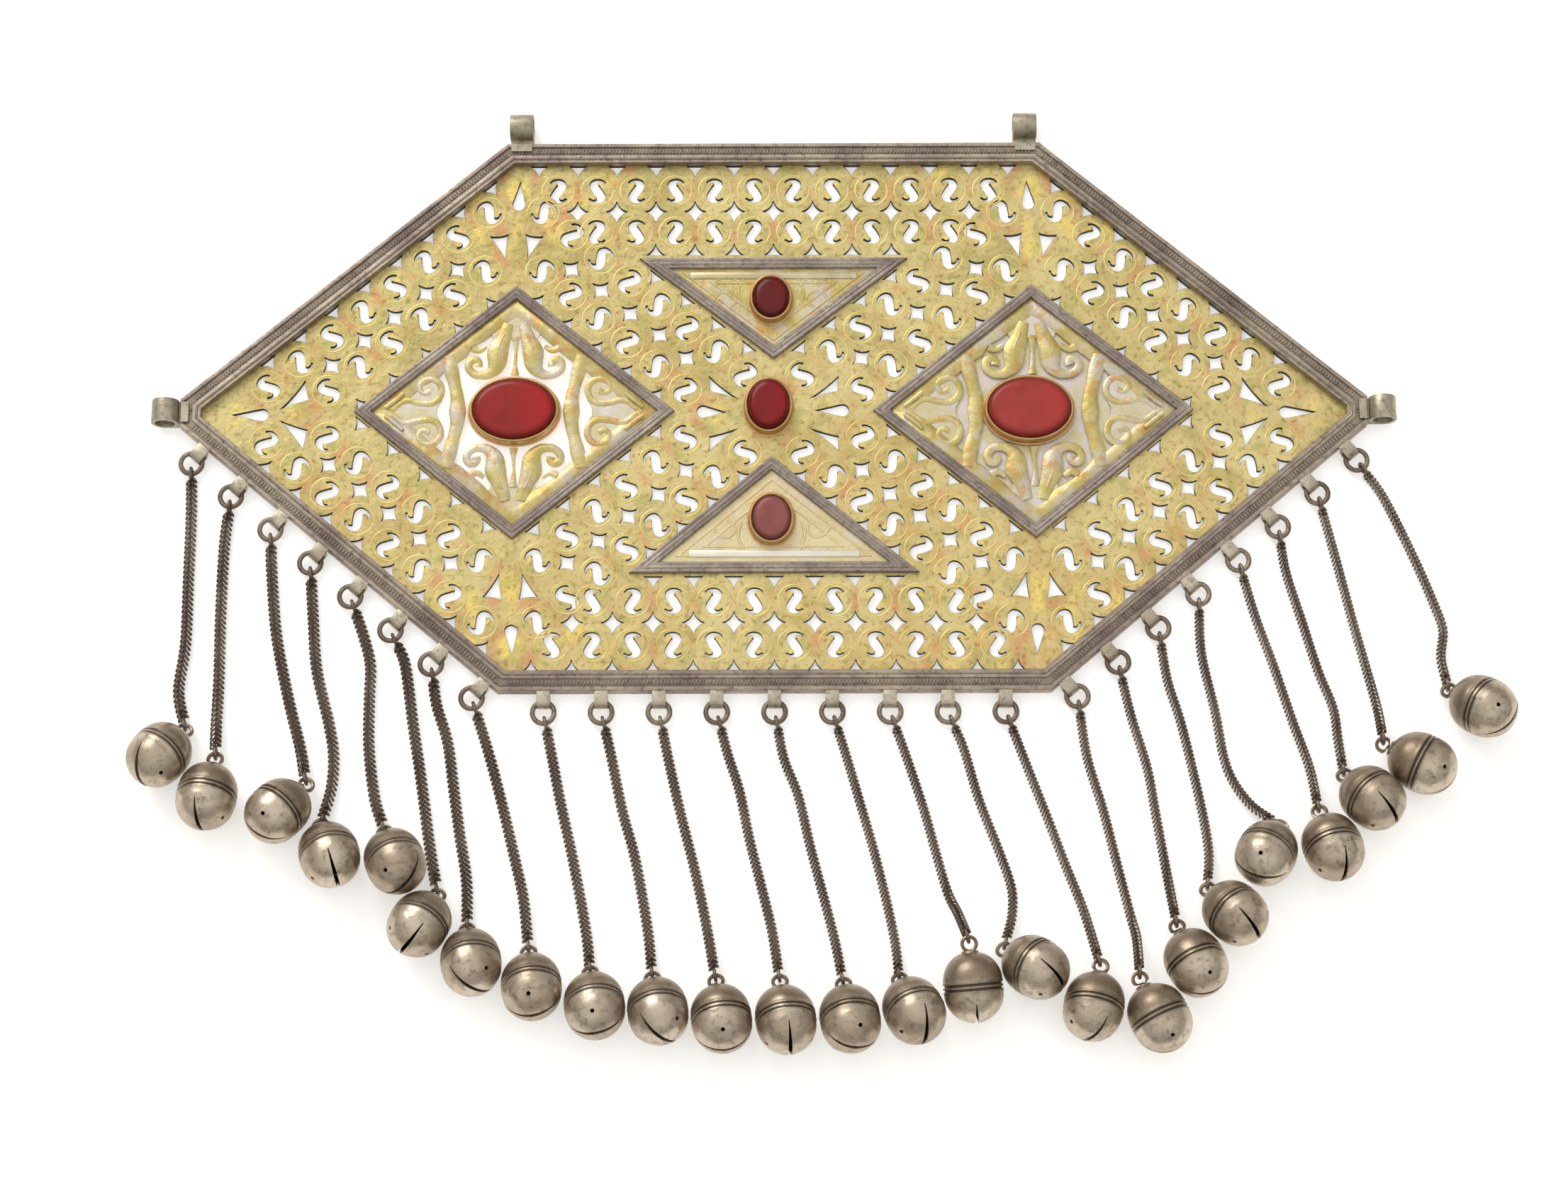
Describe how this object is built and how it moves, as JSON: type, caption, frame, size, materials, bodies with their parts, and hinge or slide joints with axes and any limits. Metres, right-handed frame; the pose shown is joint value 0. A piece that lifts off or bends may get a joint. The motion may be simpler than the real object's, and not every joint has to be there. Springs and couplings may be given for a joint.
{
  "type": "turkmen chest ornament",
  "caption": "Hexagonal pierced silver-gilt chest ornament with stones, milled border, suspension loops and a fringe of chains ending in round bells, lying flat.",
  "frame": {"origin": "on the flat underside of the hexagonal sheet, behind the centre stone", "axes": "+X to the wearer's left along the long diagonal of the hexagon, +Y to the top edge, +Z out of the front, up as it lies"},
  "size_m": [0.2956, 0.2123, 0.014],
  "materials": {
    "gilt_sheet": "fire-gilt silver sheet, rubbed, satin",
    "gilt_panels": "fire-gilt silver, satin",
    "border_silver": "tarnished silver strip, milled",
    "chain_silver": "tarnished silver wire",
    "bell_silver": "worn silver, warm grey, semi-gloss",
    "carnelian": "polished carnelian",
    "dark_stone": "polished dark red stone",
    "red_stone": "polished red stone",
    "mauve_stone": "polished pale red stone"
  },
  "bodies": {
    "root": {"pierced_plate": "gilt_sheet", "border_frame": "border_silver", "suspension_loops": "border_silver", "rhomb_panels": "gilt_panels", "triangle_panels": "gilt_panels", "stone_left": "carnelian", "stone_right": "carnelian", "stone_upper": "dark_stone", "stone_centre": "red_stone", "stone_lower": "mauve_stone", "chain_01": "chain_silver", "chain_02": "chain_silver", "chain_03": "chain_silver", "chain_04": "chain_silver", "chain_05": "chain_silver", "chain_06": "chain_silver", "chain_07": "chain_silver", "chain_08": "chain_silver", "chain_09": "chain_silver", "chain_10": "chain_silver", "chain_11": "chain_silver", "chain_12": "chain_silver", "chain_13": "chain_silver", "chain_14": "chain_silver", "chain_15": "chain_silver", "chain_16": "chain_silver", "chain_17": "chain_silver", "chain_18": "chain_silver", "chain_19": "chain_silver", "chain_20": "chain_silver", "chain_21": "chain_silver", "chain_22": "chain_silver", "chain_23": "chain_silver", "chain_24": "chain_silver", "chain_25": "chain_silver", "bell_01": "bell_silver", "bell_02": "bell_silver", "bell_03": "bell_silver", "bell_04": "bell_silver", "bell_05": "bell_silver", "bell_06": "bell_silver", "bell_07": "bell_silver", "bell_08": "bell_silver", "bell_09": "bell_silver", "bell_10": "bell_silver", "bell_11": "bell_silver", "bell_12": "bell_silver", "bell_13": "bell_silver", "bell_14": "bell_silver", "bell_15": "bell_silver", "bell_16": "bell_silver", "bell_17": "bell_silver", "bell_18": "bell_silver", "bell_19": "bell_silver", "bell_20": "bell_silver", "bell_21": "bell_silver", "bell_22": "bell_silver", "bell_23": "bell_silver", "bell_24": "bell_silver", "bell_25": "bell_silver"}
  },
  "joints": []
}
